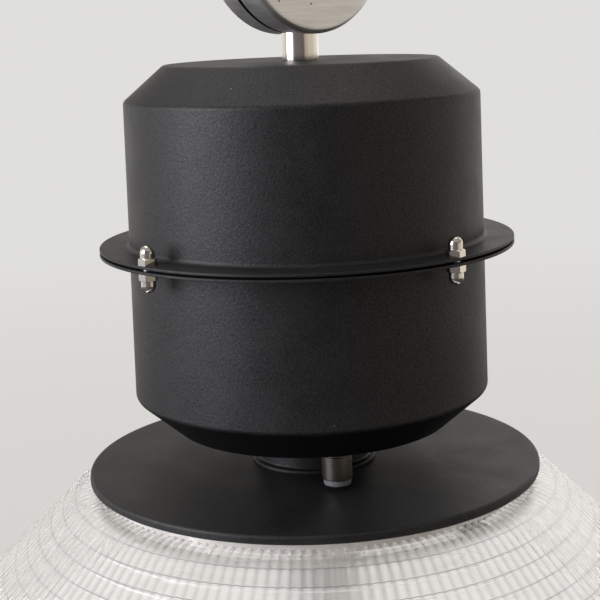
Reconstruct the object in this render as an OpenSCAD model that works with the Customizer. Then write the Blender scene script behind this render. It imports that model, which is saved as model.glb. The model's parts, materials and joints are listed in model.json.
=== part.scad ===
// Industrial pendant lamp: hanging eye, round two-part hanger, flanged gear can and bell-shaped prismatic glass.
// All sizes are in millimetres. The origin is the centre of the eye's hole, and Z points up.

/* [Hanging eye] */
// Radius of the hole that hangs on a hook
eye_hole_r = 10; // [8:0.5:12]
// Width of the metal around the hole
eye_ring_w = 9; // [7:0.5:11]
// Thickness of the eye, through the hole
eye_t = 10; // [8:0.5:12]
// Height of the collar between the eye's ring and the hanger
eye_collar_h = 5; // [3:0.5:9]
// Radius of the collar where it seats on the hanger
eye_collar_r = 9; // [7.5:0.5:9]
// Radius of the eye's threaded shank
shank_r = 5; // [4:0.5:5.5]

/* [Hanger] */
// Radius of the round hanger
hanger_r = 48.8; // [44:0.1:55]
// Thickness of the front half, from its face to the seam
front_half_t = 16.6; // [16:0.1:22]
// Thickness of the rear half, from its face to the seam
rear_half_t = 14.2; // [11:0.1:16]
// Wall of the castings
hanger_wall = 3.5; // [3:0.1:4.5]
// Rounding of the outer edges of the castings
hanger_edge_r = 3; // [1.5:0.1:3.5]
// Depth of the chamfer on each side of the seam
seam_chamfer = 0.5; // [0.2:0.1:1]
// Depth of the flat milled for the eye's collar
spotface_depth = 1; // [0.5:0.1:1.5]
// Height of the bosses at the top and bottom, from the rim inwards
boss_h = 10; // [8:0.5:12]
// Radius of the circle that the hanger's screws lie on
hanger_screw_circle = 34; // [32:0.5:35]
// Radius of the hanger's screws
hanger_screw_r = 2; // [1.5:0.1:2.4]
// Bore of the cable grommet
cable_hole_r = 4; // [3:0.25:5.5]

/* [Stem] */
// Outer radius of the polished sleeve
sleeve_r = 9.45; // [8.5:0.05:11]
// Length of sleeve that shows between the can and the hanger
stem_gap = 13.2; // [6:0.1:60]
// How far the sleeve goes up into the hanger
sleeve_sink = 3; // [2:0.1:4]
// Outer radius of the threaded tubes
nipple_r = 6.5; // [5.5:0.1:7]
// Wall of the threaded tubes
nipple_wall = 1.5; // [1:0.1:2]

/* [Can] */
// Outer radius of the can's wall
can_r = 90; // [86:1:110]
// Height of each half, from the flange's middle plane to its flat end
can_h = 92; // [86:1:120]
// Width of the chamfered ends
chamfer_w = 20.5; // [16:0.5:22]
// Height of the chamfered ends
chamfer_h = 17.5; // [14:0.5:20]
// Thickness of the sheet
sheet = 1.5; // [1:0.1:2]
// Width of the flanges outside the can's wall
flange_w = 15; // [15:0.5:22]
// Gap between the flanges, filled by the gasket
flange_gap = 1; // [0.6:0.1:2]
// Clearance between the studs and the gasket, which lies inside their circle
gasket_clear = 0.5; // [0.3:0.1:1]
// Distance of the studs from the can's wall
stud_step = 10.5; // [9:0.5:10.5]
// Number of studs
stud_n = 4; // [3:1:8]
// Radius of the studs
stud_r = 2.5; // [2:0.1:3]
// Width across the flats of the cap nuts
cap_nut_af = 8; // [7.5:0.1:9]
// Height of a cap nut's hexagon
cap_nut_hex_h = 3.4; // [3:0.1:5]
// Height of a cap nut's dome
cap_nut_dome_h = 5.9; // [5:0.1:7.5]

/* [Gear tray] */
// Thickness of the tray
tray_t = 2; // [1.5:0.1:3]
// Height of the spacers under the tray
spacer_h = 9.5; // [9:0.5:14]
// Radius of the circle that the spacers stand on
spacer_circle = 58; // [54:0.5:62]
// Length of the ballast, along Y
ballast_l = 66; // [60:1:70]
// Height of the ballast's laminated core
ballast_h = 54; // [48:1:60]
// Thickness of the ballast's stack of laminations
ballast_stack = 30; // [26:1:32]
// Radius of the capacitor
capacitor_r = 17; // [14:0.5:18]
// Height of the capacitor
capacitor_h = 70; // [50:1:80]
// Radius of the ignitor
ignitor_r = 16; // [13:0.5:18]
// Height of the ignitor
ignitor_h = 48; // [36:1:70]

/* [Cord grip] */
// Outer radius of the cord grip
grip_r = 7.3; // [6.5:0.1:8]
// Length of the cord grip below the can
grip_l = 15.3; // [10:0.1:15.6]
// Length of the white plug that shows below the cord grip
plug_l = 3; // [1:0.1:3.2]
// Distance of the cord grip from the lamp's axis
grip_offset = 53; // [44:0.5:55]
// Direction of the cord grip, from the front towards the right
grip_a = -31; // [-40:1:-24]

/* [Neck and top disc] */
// Distance between the can and the top disc
neck_h = 20.3; // [19:0.1:40]
// Radius of the neck
neck_r = 28.5; // [24:0.5:30]
// Radius of the flange at the foot of the neck
neck_foot_r = 31.5; // [31:0.5:38]
// Thickness of that flange
neck_foot_t = 1.6; // [1.4:0.1:4]
// Radius of the top disc
disc_r = 115; // [114:0.5:126]
// Thickness of the top disc's sheet
disc_sheet = 2; // [1.5:0.1:2.5]
// Height of the top disc's turned-down edge
disc_edge_h = 4.2; // [3.6:0.1:5]
// Depth of the inner ring that carries the clips
clip_ring_h = 10; // [9:0.5:12]
// Number of clips
clip_n = 3; // [3:1:6]
// Thickness of the white plate under the top disc
reflector_t = 1; // [0.6:0.1:1.2]
// Radius of the hole in that plate, around the nut
reflector_hole_r = 14; // [13:0.5:20]

/* [Glass] */
// Outer radius of the glass at its neck
glass_neck_r = 110.5; // [109:0.5:111.5]
// Outer radius of the glass at its rim
rim_r = 200; // [185:1:230]
// Thickness of the glass without its prisms
glass_wall = 5; // [4.5:0.1:6]
// Height of the plain band, from the disc's top to the shoulder
band_h = 7.4; // [6.8:0.1:9]
// Radius of the turn from the neck to the shoulder
shoulder_round = 22.8; // [18:0.2:28]
// Slope of the shoulder below the horizontal
shoulder_a = 44; // [38:1:50]
// Radius of the bell's turn from the shoulder to the skirt
bell_round = 92; // [80:1:100]
// Height of the straight skirt
skirt_h = 29; // [15:1:60]
// Number of upright ribs on the outside
rib_n = 160; // [64:32:160]
// Depth of the valleys between the ribs
rib_depth = 2.1; // [1:0.1:2.4]
// Number of ring prisms on the inside
ring_n = 17; // [8:1:17]
// Length of plain glass inside the rim, below the ring prisms
rim_band_h = 24; // [12:0.5:28]
// Depth of the ring prisms
ring_depth = 1.2; // [0.6:0.1:1.6]
// Thickness of the gasket between the glass and the disc, and of its skirt inside the neck
glass_gasket_t = 1.2; // [0.8:0.1:1.6]

/* [Lampholder and bulb] */
// Radius of the porcelain holder
holder_r = 24; // [22:0.5:28]
// Length of the porcelain holder
holder_l = 48; // [44:0.5:56]
// Radius of the bulb's screw cap, over its thread
cap_r = 13; // [12.5:0.1:13.5]
// Pitch of the bulb's thread
thread_pitch = 3.63; // [3.4:0.01:3.8]
// Radius of the bulb
bulb_r = 32.5; // [28:0.5:40]
// Length of the bulb below its cap
bulb_l = 78; // [72:1:88]

/* [Hidden] */

$fn = 96;
// Straight pieces in each rounded corner of a profile
corner_n = 5;
// Radial clearance of a stud, shank or tube in its hole
hole_gap = 0.2;
// Radial clearance of a thread in its nut
thread_gap = 0.05;
// Clearance between curved faces that seat on each other
seat_gap = 0.05;
// Running clearance between pieces that turn against each other
turn_gap = 0.3;
// Running clearance around the bulb's cap
cap_gap = 0.4;
// Amount by which a cutting shape reaches past what it cuts
past = 1;

// Eye and hanger
eye_outer_r = eye_hole_r + eye_ring_w;
eye_chamfer = eye_t * 0.15;
hanger_t = front_half_t + rear_half_t;
hanger_z = -(eye_outer_r + eye_collar_h + hanger_r);
hanger_top = hanger_z + hanger_r;
hanger_bottom = hanger_z - hanger_r;
hanger_cavity_r = hanger_r - hanger_wall;
seam_y = front_half_t - hanger_t / 2;
spotface_z = hanger_top - spotface_depth;
shank_boss_r = shank_r + 5;
nipple_boss_r = nipple_r + 5.5;
screw_boss_r = hanger_screw_r + 3.2;
screw_angles = [30, 150, 202, 338];
eye_nut_af = 3.2 * shank_r;
eye_nut_h = 1.6 * shank_r;
shank_end_z = hanger_top - boss_h - eye_nut_h - 1.5;
grommet_groove_r = cable_hole_r + 5;
grommet_lip = 2;

// Stem and can
can_top_z = hanger_bottom - stem_gap;
flange_z = can_top_z - can_h;
can_bottom_z = flange_z - can_h;
nipple_hole_r = nipple_r + hole_gap;
nipple_nut_af = 3 * nipple_r;
nipple_nut_h = 5;
stiffener_r = 32;
stiffener_t = 2;
end_r = can_r - chamfer_w;
shoulder_h = can_h - chamfer_h;
chamfer_a = atan2(chamfer_h, chamfer_w);
flange_r = can_r + flange_w;
stud_circle = can_r + stud_step;
cap_nut_turn = -24;
cap_nut_dome_r = 0.44 * cap_nut_af;
stud_nut_depth = cap_nut_hex_h + cap_nut_dome_h - cap_nut_dome_r;
gasket_r = stud_circle - stud_r - gasket_clear;
stack_half = flange_gap / 2 + sheet;

// Gear tray and its small screws
floor_z = can_bottom_z + sheet;
tray_r = end_r + 4;
tray_hole_r = nipple_r + 8;
screw_r = 2;
screw_head_r = 3.4;
screw_head_h = 2.2;
screw_grip = 5;
tray_z = floor_z + spacer_h;
tray_top_z = tray_z + tray_t;
ballast_x = -30;
bracket_t = 1.5;
ballast_foot = 9;
core_limb = ballast_l / 6;
coil_window = ballast_l / 6;
coil_bulge = 5;
ballast_screw_y = ballast_l / 2 + bracket_t + ballast_foot / 2;
spacer_angles = [0, 118, 262];
component_x = 38;
component_y = 29;
terminal_x = -2;
terminal_y = 52;
terminal_size = [40, 18, 16];

// Cord grip
grip_x = grip_offset * sin(grip_a);
grip_y = -grip_offset * cos(grip_a);
grip_thread_r = grip_r - 1.4;
plug_r = grip_r - 0.7;
grip_bore_r = plug_r - 1.6;
grip_nut_h = 3;

// Neck, disc and glass
disc_top_z = can_bottom_z - neck_h;
disc_under_z = disc_top_z - disc_sheet;
disc_lip_r = disc_r - 1.7;
glass_inner_r = glass_neck_r - glass_wall;
glass_top_z = disc_under_z - glass_gasket_t;
shoulder_z = disc_top_z - band_h;
clip_ring_r = glass_inner_r - 3.8;
clip_ring_t = 2;
clip_t = 1.2;
clip_w_a = 9;
clip_screw_drop = 5;
clip_foot_z = shoulder_z - glass_wall - 0.2;
clip_inner_r = clip_ring_r + seat_gap;
clip_seat_r = sqrt(pow(clip_ring_r - clip_ring_t, 2) - pow(screw_head_r, 2)) - seat_gap;

// Arc lengths along the bell's outer curve: shoulder turn, slope, bell turn and skirt
turn_l = shoulder_round * shoulder_a * PI / 180;
turn_end = [glass_neck_r + shoulder_round * sin(shoulder_a),
    shoulder_z - shoulder_round * (1 - cos(shoulder_a))];
slope_l = (rim_r - bell_round * (1 - sin(shoulder_a)) - turn_end[0]) / cos(shoulder_a);
slope_end = turn_end + slope_l * [cos(shoulder_a), -sin(shoulder_a)];
bell_l = bell_round * (90 - shoulder_a) * PI / 180;
bell_end_z = slope_end[1] - bell_round * cos(shoulder_a);
glass_l = turn_l + slope_l + bell_l + skirt_h;
rim_z = bell_end_z - skirt_h;
first_ring_s = 13.5;
ring_pitch = (glass_l - first_ring_s - rim_band_h) / ring_n;
// Points around the glass: one on each crest and in each valley outside, and fewer inside
outside_n = 2 * rib_n;
inside_n = 64;

// Lampholder and bulb
holder_top_z = disc_under_z - nipple_nut_h;
holder_cap_h = 12;
holder_cap_lap = 9;
porcelain_top_z = holder_top_z - holder_cap_h;
porcelain_end_z = porcelain_top_z - holder_l;
socket_r = cap_r + cap_gap + 1.2;
socket_top_z = porcelain_top_z - 14;
shell_t = 0.8;
contact_h = 4;
contact_gap = 0.35;
bulb_top_z = socket_top_z - 1 - contact_h - contact_gap;
bulb_tip_h = 1.6;
bulb_insulator_h = 3.4;
cap_top_z = bulb_top_z - bulb_tip_h - bulb_insulator_h;
cap_l = 22;
cap_end_z = cap_top_z - cap_l;
bulb_end_z = cap_end_z - bulb_l;
bulb_wall = 1;

// Unit vector along v
function unit(v) = v / norm(v);

// Points of one corner of a profile, from p to q to s, where the third number of q is its radius
function corner(p, q, s) =
    let (c = [q[0], q[1]], u = unit([p[0], p[1]] - c), v = unit([s[0], s[1]] - c), r = q[2])
    r <= 0 ? [c] :
    let (half = acos(u * v) / 2, m = c + unit(u + v) * r / sin(half))
    let (a = c + u * r / tan(half) - m, b = c + v * r / tan(half) - m)
    let (start = atan2(a[1], a[0]), turn = (atan2(b[1], b[0]) - start + 540) % 360 - 180)
    [for (i = [0 : corner_n]) m + r * [cos(start + turn * i / corner_n), sin(start + turn * i / corner_n)]];

// Closed profile through the points [x, y, corner radius]
function rounded(points) =
    let (n = len(points))
    [for (i = [0 : n - 1]) each corner(points[(i + n - 1) % n], points[i], points[(i + 1) % n])];

// Heading of the bell's outer curve below the horizontal, at arc length s
function bell_heading(s) =
    s < turn_l ? s / shoulder_round * 180 / PI :
    s < turn_l + slope_l ? shoulder_a :
    s < turn_l + slope_l + bell_l ? shoulder_a + (s - turn_l - slope_l) / bell_round * 180 / PI :
    90;

// Point [radius, height] of the bell's outer curve at arc length s
function bell_point(s) =
    let (a = bell_heading(s))
    s < turn_l ? [glass_neck_r + shoulder_round * sin(a), shoulder_z - shoulder_round * (1 - cos(a))] :
    s < turn_l + slope_l ? turn_end + (s - turn_l) * [cos(a), -sin(a)] :
    s < turn_l + slope_l + bell_l ?
        slope_end + bell_round * [sin(a) - sin(shoulder_a), cos(a) - cos(shoulder_a)] :
    [rim_r, bell_end_z - (s - turn_l - slope_l - bell_l)];

// Point at arc length s, moved into the glass by depth
function bell_inside(s, depth) = bell_point(s) - depth * [sin(bell_heading(s)), cos(bell_heading(s))];

// Solid of revolution about Z with rounded corners
module turned(points, angle = 360) {
    rotate_extrude(angle = angle)
        polygon(rounded(points));
}

// Copies around Z
module ring_of(count, radius, start = 0) {
    for (i = [0 : count - 1])
        rotate([0, 0, start + 360 * i / count])
            translate([radius, 0, 0])
                children();
}

// Hexagon nut with bevelled corners, seated at z = 0
module hex_nut(across, height, bore_r) {
    corner_r = across / 2 / cos(30);
    bevel = 0.12 * across;
    difference() {
        intersection() {
            cylinder(r = corner_r, h = height, $fn = 6);
            turned([[0, 0, 0], [corner_r - bevel, 0, 0], [corner_r, bevel * 0.58, 0],
                [corner_r, height - bevel * 0.58, 0], [corner_r - bevel, height, 0], [0, height, 0]]);
        }
        translate([0, 0, -past])
            cylinder(r = bore_r, h = height + 2 * past);
    }
}

// Round-headed screw along Z, with its head above z = 0 and its shank below
module screw(shank, length, head_r, head_h) {
    difference() {
        turned([[0, -length, 0], [shank - 0.4, -length, 0], [shank, -length + 0.4, 0], [shank, 0, 0],
            [head_r, 0, 0], [head_r, head_h, head_h * 0.7], [0, head_h, 0]]);
        translate([-head_r, -head_r * 0.12, head_h * 0.5])
            cube([2 * head_r, head_r * 0.24, head_h]);
    }
}

// Ring with a round hole for a hook, a tapered collar and a threaded shank
module hanging_eye() {
    color("silver")
    difference() {
        union() {
            rotate([90, 0, 0])
                turned([[eye_hole_r - past, -eye_t / 2, 0], [eye_outer_r, -eye_t / 2, eye_t * 0.3],
                    [eye_outer_r, eye_t / 2, eye_t * 0.3], [eye_hole_r - past, eye_t / 2, 0]]);
            translate([0, 0, spotface_z])
                cylinder(r1 = eye_collar_r, r2 = eye_t / 2 - 0.4, h = eye_ring_w * 0.5 - eye_outer_r - spotface_z);
            translate([0, 0, shank_end_z])
                cylinder(r = shank_r, h = spotface_z - shank_end_z);
        }
        rotate([90, 0, 0])
            cylinder(r = eye_hole_r, h = eye_t + 2 * past, center = true);
        for (side = [-1, 1])
            translate([0, side * (eye_t / 2 - eye_chamfer), 0])
                rotate([side * -90, 0, 0])
                    cylinder(r1 = eye_hole_r, r2 = eye_hole_r + eye_chamfer + past, h = eye_chamfer + past);
    }
}

// Nut that holds the eye from inside the hanger
module eye_nut() {
    color("silver")
    translate([0, 0, hanger_top - boss_h - eye_nut_h])
        hex_nut(eye_nut_af, eye_nut_h, shank_r + thread_gap);
}

// Full disc of one casting, from its face at z = 0 to the seam
module hanger_disc(depth) {
    turned([[0, 0, 0], [hanger_r, 0, hanger_edge_r], [hanger_r, depth - seam_chamfer, 0],
        [hanger_r - seam_chamfer, depth, 0], [0, depth, 0]]);
}

// One casting of the hanger with its face at z = 0, before it is turned upright
module hanger_dish(depth) {
    difference() {
        hanger_disc(depth);
        translate([0, 0, hanger_wall])
            cylinder(r = hanger_cavity_r, h = depth);
    }
    intersection() {
        hanger_disc(depth);
        for (a = screw_angles)
            rotate([0, 0, a])
                translate([hanger_screw_circle, 0, 0])
                    cylinder(r = screw_boss_r, h = depth);
    }
}

// Bosses for the stem and the eye, cut to the casting by the caller
module hanger_bosses() {
    translate([0, 0, hanger_bottom - past])
        cylinder(r = nipple_boss_r, h = boss_h + past);
    translate([0, 0, hanger_top - boss_h])
        cylinder(r = shank_boss_r, h = boss_h);
}

// Holes for the stem and the eye, shared by both castings
module hanger_bores() {
    translate([0, 0, hanger_bottom - past])
        cylinder(r = sleeve_r + hole_gap, h = sleeve_sink + past);
    translate([0, 0, hanger_bottom])
        cylinder(r = nipple_hole_r, h = boss_h + past);
    translate([0, 0, hanger_top - boss_h - past])
        cylinder(r = shank_r + hole_gap, h = boss_h + 2 * past);
    translate([0, 0, spotface_z + hanger_r])
        cube([2 * hanger_r, 2 * hanger_t, 2 * hanger_r], center = true);
}

// Front casting, with blind threaded holes for the screws
module hanger_front_half() {
    color("gainsboro")
    difference() {
        translate([0, -hanger_t / 2, hanger_z])
            rotate([-90, 0, 0])
                hanger_dish(front_half_t);
        hanger_bores();
        front_screw_holes();
    }
    color("gainsboro")
    difference() {
        intersection() {
            hanger_bosses();
            translate([0, -hanger_t / 2, hanger_z])
                rotate([-90, 0, 0])
                    hanger_disc(front_half_t);
        }
        hanger_bores();
    }
}

// Threaded holes of the front casting
module front_screw_holes() {
    for (a = screw_angles)
        translate([hanger_screw_circle * cos(a), seam_y - 8, hanger_z + hanger_screw_circle * sin(a)])
            rotate([-90, 0, 0])
                cylinder(r = hanger_screw_r + thread_gap, h = 8 + past);
}

// Rear casting, with countersunk holes for the screws and the hole for the cable
module hanger_rear_half() {
    color("darkgray")
    difference() {
        union() {
            translate([0, hanger_t / 2, hanger_z])
                rotate([90, 0, 0])
                    hanger_dish(rear_half_t);
            intersection() {
                hanger_bosses();
                translate([0, hanger_t / 2, hanger_z])
                    rotate([90, 0, 0])
                        hanger_disc(rear_half_t);
            }
        }
        hanger_bores();
        rear_screw_holes();
        translate([0, hanger_t / 2 + past, hanger_z])
            rotate([90, 0, 0])
                cylinder(r = grommet_groove_r, h = hanger_wall + 2 * past);
    }
}

// Countersunk holes of the rear casting
module rear_screw_holes() {
    head_r = hanger_screw_r * 2;
    for (a = screw_angles)
        translate([hanger_screw_circle * cos(a), hanger_t / 2, hanger_z + hanger_screw_circle * sin(a)])
            rotate([90, 0, 0]) {
                translate([0, 0, -past])
                    cylinder(r = hanger_screw_r + hole_gap, h = rear_half_t + 2 * past);
                cylinder(r1 = head_r + 0.1, r2 = hanger_screw_r + 0.1, h = hanger_screw_r);
            }
}

// Countersunk screws, put in from the rear
module hanger_screws() {
    color("silver")
    for (a = screw_angles)
        translate([hanger_screw_circle * cos(a), hanger_t / 2, hanger_z + hanger_screw_circle * sin(a)])
            rotate([90, 0, 0])
                difference() {
                    union() {
                        cylinder(r1 = hanger_screw_r * 2, r2 = hanger_screw_r, h = hanger_screw_r);
                        cylinder(r = hanger_screw_r, h = rear_half_t + 7);
                    }
                    translate([-hanger_r / 2, -0.4, -past])
                        cube([hanger_r, 0.8, past + 0.9]);
                }
}

// Rubber grommet in the rear casting, where the supply cable enters
module entry_grommet() {
    lip_r = grommet_groove_r + grommet_lip;
    color("dimgray")
    translate([0, hanger_t / 2, hanger_z])
        rotate([-90, 0, 0])
            turned([[cable_hole_r, -hanger_wall - grommet_lip, 0.4], [lip_r, -hanger_wall - grommet_lip, 0.8],
                [lip_r, -hanger_wall, 0], [grommet_groove_r - 0.1, -hanger_wall, 0],
                [grommet_groove_r - 0.1, 0, 0], [lip_r, 0, 0], [lip_r, grommet_lip, 1.2],
                [cable_hole_r, grommet_lip, 0.4]]);
}

// Polished sleeve between the can and the hanger
module stem_sleeve() {
    color("lightgray")
    turned([[nipple_hole_r, can_top_z, 0.2], [sleeve_r, can_top_z, 0.3],
        [sleeve_r, hanger_bottom + sleeve_sink, 0.3], [nipple_hole_r, hanger_bottom + sleeve_sink, 0.2]]);
}

// Threaded tube through the hanger, the sleeve and the can
module stem_nipple() {
    top = hanger_bottom + boss_h + nipple_nut_h + 1;
    bottom = can_top_z - sheet - stiffener_t - nipple_nut_h - 1;
    color("silver")
    turned([[nipple_r - nipple_wall, bottom, 0], [nipple_r, bottom, 0.3], [nipple_r, top, 0.3],
        [nipple_r - nipple_wall, top, 0]]);
}

// Nuts on the stem's threaded tube, in the hanger and in the can
module stem_nuts() {
    color("silver")
    for (z = [hanger_bottom + boss_h, can_top_z - sheet - stiffener_t - nipple_nut_h])
        translate([0, 0, z])
            hex_nut(nipple_nut_af, nipple_nut_h, nipple_r + thread_gap);
}

// Steel plate that spreads the load under the can's flat end
module can_stiffener() {
    color("gray")
    turned([[nipple_hole_r, can_top_z - sheet - stiffener_t, 0],
        [stiffener_r, can_top_z - sheet - stiffener_t, 0.4], [stiffener_r, can_top_z - sheet, 0.4],
        [nipple_hole_r, can_top_z - sheet, 0]]);
}

// One pressed half of the can, standing on the flange's middle plane
module can_half() {
    base = flange_gap / 2;
    difference() {
        turned([[nipple_hole_r, can_h, 0], [end_r, can_h, 3], [can_r, shoulder_h, 3],
            [can_r, base + sheet, 2], [flange_r, base + sheet, 0.5], [flange_r, base, 0.5],
            [can_r - sheet, base, 2 + sheet],
            [can_r - sheet, shoulder_h - sheet * tan((90 - chamfer_a) / 2), 1.5],
            [end_r - sheet * tan(chamfer_a / 2), can_h - sheet, 1.5], [nipple_hole_r, can_h - sheet, 0]]);
        ring_of(stud_n, stud_circle)
            cylinder(r = stud_r + hole_gap, h = base + sheet + past);
    }
}

// Upper half of the can
module upper_can() {
    color("dimgray")
    translate([0, 0, flange_z])
        can_half();
}

// Lower half of the can, with the hole for the cord grip
module lower_can() {
    color("dimgray")
    difference() {
        translate([0, 0, flange_z])
            mirror([0, 0, 1])
                can_half();
        translate([grip_x, grip_y, can_bottom_z - past])
            cylinder(r = grip_thread_r + hole_gap, h = sheet + 2 * past);
    }
}

// Gasket between the flanges, inside the studs
module flange_gasket() {
    color("black")
    translate([0, 0, flange_z - flange_gap / 2])
        difference() {
            cylinder(r = gasket_r, h = flange_gap);
            translate([0, 0, -past])
                cylinder(r = can_r + 1, h = flange_gap + 2 * past);
        }
}

// Studs through the flanges
module flange_studs() {
    half = stack_half + stud_nut_depth - 0.4;
    color("silver")
    translate([0, 0, flange_z])
        ring_of(stud_n, stud_circle)
            turned([[0, -half, 0], [stud_r, -half, 0.4], [stud_r, half, 0.4], [0, half, 0]]);
}

// Cap nut seated at z = 0: a hexagon with a domed top and a blind thread
module cap_nut() {
    corner_r = cap_nut_af / 2 / cos(30);
    top = cap_nut_hex_h + cap_nut_dome_h;
    difference() {
        union() {
            intersection() {
                cylinder(r = corner_r, h = cap_nut_hex_h, $fn = 6);
                turned([[0, 0, 0], [corner_r, 0, 0], [corner_r, cap_nut_hex_h - 0.6, 0],
                    [corner_r - 0.9, cap_nut_hex_h, 0], [0, cap_nut_hex_h, 0]]);
            }
            cylinder(r = cap_nut_dome_r, h = top - cap_nut_dome_r);
            translate([0, 0, top - cap_nut_dome_r])
                sphere(r = cap_nut_dome_r);
        }
        translate([0, 0, -past])
            cylinder(r = stud_r + thread_gap, h = stud_nut_depth + past);
    }
}

// Cap nuts on the upper flange
module upper_cap_nuts() {
    color("lightgray")
    translate([0, 0, flange_z + stack_half])
        ring_of(stud_n, stud_circle)
            rotate([0, 0, cap_nut_turn])
                cap_nut();
}

// Cap nuts under the lower flange
module lower_cap_nuts() {
    color("lightgray")
    translate([0, 0, flange_z - stack_half])
        mirror([0, 0, 1])
            ring_of(stud_n, stud_circle)
                rotate([0, 0, cap_nut_turn])
                    cap_nut();
}

// Copies at each spacer of the gear tray
module at_spacers() {
    for (a = spacer_angles)
        translate([spacer_circle * cos(a), spacer_circle * sin(a), 0])
            children();
}

// Spacers between the can's floor and the gear tray
module gear_spacers() {
    color("silver")
    at_spacers()
        translate([0, 0, floor_z])
            difference() {
                cylinder(r = 2.25 * screw_r, h = spacer_h, $fn = 6);
                translate([0, 0, spacer_h - screw_grip - 2])
                    cylinder(r = screw_r + thread_gap, h = screw_grip + 2 + past);
            }
}

// Round steel tray that carries the gear
module gear_tray() {
    color("lightslategray")
    difference() {
        turned([[tray_hole_r, tray_z, 0], [tray_r, tray_z, 0.5], [tray_r, tray_top_z, 0.5],
            [tray_hole_r, tray_top_z, 0]]);
        at_spacers()
            translate([0, 0, tray_z - past])
                cylinder(r = screw_r + hole_gap, h = tray_t + 2 * past);
        for (side = [-1, 1])
            translate([ballast_x, side * ballast_screw_y, tray_z - past])
                cylinder(r = screw_r + hole_gap, h = tray_t + 2 * past);
    }
}

// Screws that hold the tray on its spacers
module gear_screws() {
    color("silver")
    at_spacers()
        translate([0, 0, tray_top_z])
            screw(screw_r, tray_t + screw_grip, screw_head_r, screw_head_h);
}

// Outline of the ballast's laminations, lying in the plane of its length and height
module lamination() {
    difference() {
        square([ballast_l, ballast_h]);
        for (x = [core_limb, ballast_l - core_limb - coil_window])
            translate([x, core_limb])
                square([coil_window, ballast_h - 2 * core_limb]);
    }
}

// Laminated core of the ballast
module ballast_core() {
    color("slategray")
    translate([ballast_x - ballast_stack / 2, -ballast_l / 2, tray_top_z + bracket_t])
        rotate([90, 0, 90])
            linear_extrude(ballast_stack)
                lamination();
}

// Winding around the core's middle limb
module ballast_coil() {
    slack = 0.5;
    limb = ballast_l - 2 * core_limb - 2 * coil_window;
    length = ballast_h - 2 * core_limb - 2 * slack;
    outer = [ballast_stack + 2 * coil_bulge, ballast_l - 2 * core_limb - 2 * slack, length];
    inner = [ballast_stack + 2 * slack, limb + 2 * slack, length + 2 * past];
    color("chocolate")
    translate([ballast_x, 0, tray_top_z + bracket_t + core_limb + slack])
        difference() {
            rounded_block(outer, 5);
            translate([0, 0, -past])
                rounded_block(inner, 1);
        }
}

// Upright block with rounded vertical edges, standing on z = 0
module rounded_block(size, r) {
    x = size[0] / 2;
    y = size[1] / 2;
    linear_extrude(size[2])
        polygon(rounded([[-x, -y, r], [x, -y, r], [x, y, r], [-x, y, r]]));
}

// Strap bracket that holds the ballast down on the tray
module ballast_bracket() {
    inner = ballast_l / 2;
    top = ballast_h + 2 * bracket_t;
    color("lightsteelblue")
    difference() {
        translate([ballast_x - ballast_stack / 4, 0, tray_top_z])
            bracket_strap(inner, top);
        for (side = [-1, 1])
            translate([ballast_x, side * ballast_screw_y, tray_top_z - past])
                cylinder(r = screw_r + hole_gap, h = bracket_t + 2 * past);
    }
}

// Strap bent over the core, with a foot on each side
module bracket_strap(inner, top) {
    rotate([90, 0, 90])
        linear_extrude(ballast_stack / 2)
            difference() {
                polygon([[-inner - bracket_t - ballast_foot, 0], [inner + bracket_t + ballast_foot, 0],
                    [inner + bracket_t + ballast_foot, bracket_t], [inner + bracket_t, bracket_t],
                    [inner + bracket_t, top], [-inner - bracket_t, top], [-inner - bracket_t, bracket_t],
                    [-inner - bracket_t - ballast_foot, bracket_t]]);
                translate([-inner, bracket_t])
                    square([ballast_l, ballast_h]);
            }
}

// Screws through the bracket's feet
module ballast_screws() {
    color("silver")
    for (side = [-1, 1])
        translate([ballast_x, side * ballast_screw_y, tray_top_z + bracket_t])
            screw(screw_r, tray_t + bracket_t + 2, screw_head_r, screw_head_h);
}

// Capacitor in an aluminium can with a rolled edge
module capacitor() {
    color("whitesmoke")
    translate([component_x, component_y, tray_top_z])
        turned([[0, 0, 0], [capacitor_r - 1, 0, 0], [capacitor_r - 1, 3, 0], [capacitor_r, 4, 0],
            [capacitor_r, capacitor_h - 3, 1], [capacitor_r - 1.5, capacitor_h - 1, 0.5],
            [capacitor_r - 2, capacitor_h, 0.3], [capacitor_r - 3, capacitor_h, 0.3],
            [capacitor_r - 3.5, capacitor_h - 2, 0], [0, capacitor_h - 2, 0]]);
}

// Ignitor in a moulded case
module ignitor() {
    color("ivory")
    translate([component_x, -component_y, tray_top_z])
        turned([[0, 0, 0], [ignitor_r, 0, 0.5], [ignitor_r, ignitor_h, 3], [6, ignitor_h, 0],
            [6, ignitor_h + 2, 0.5], [0, ignitor_h + 2, 0]]);
}

// Ceramic terminal block with three ways
module terminal_block() {
    way = terminal_size[0] / 3;
    color("ivory")
    translate([terminal_x, terminal_y, tray_top_z])
        difference() {
            translate([-terminal_size[0] / 2, -terminal_size[1] / 2, 0])
                cube(terminal_size);
            for (i = [-1 : 1])
                for (side = [-1, 1])
                    translate([i * way, side * 4.5, terminal_size[2] - 6])
                        cylinder(r = 2.6, h = 6 + past);
            for (i = [-0.5, 0.5])
                translate([i * way - 0.5, -terminal_size[1] / 2 - past, terminal_size[2] - 5])
                    cube([1, terminal_size[1] + 2 * past, 5 + past]);
            for (i = [-1 : 1])
                translate([i * way, 0, 6])
                    rotate([90, 0, 0])
                        cylinder(r = 2.2, h = terminal_size[1] + 2 * past, center = true);
        }
}

// Clamping screws of the terminal block
module terminal_screws() {
    color("gold")
    for (i = [-1 : 1])
        for (side = [-1, 1])
            translate([terminal_x + i * terminal_size[0] / 3, terminal_y + side * 4.5,
                tray_top_z + terminal_size[2] - 6])
                difference() {
                    cylinder(r = 2.5, h = 4);
                    translate([-3, -0.3, 3])
                        cube([6, 0.6, 2]);
                }
}

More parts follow.
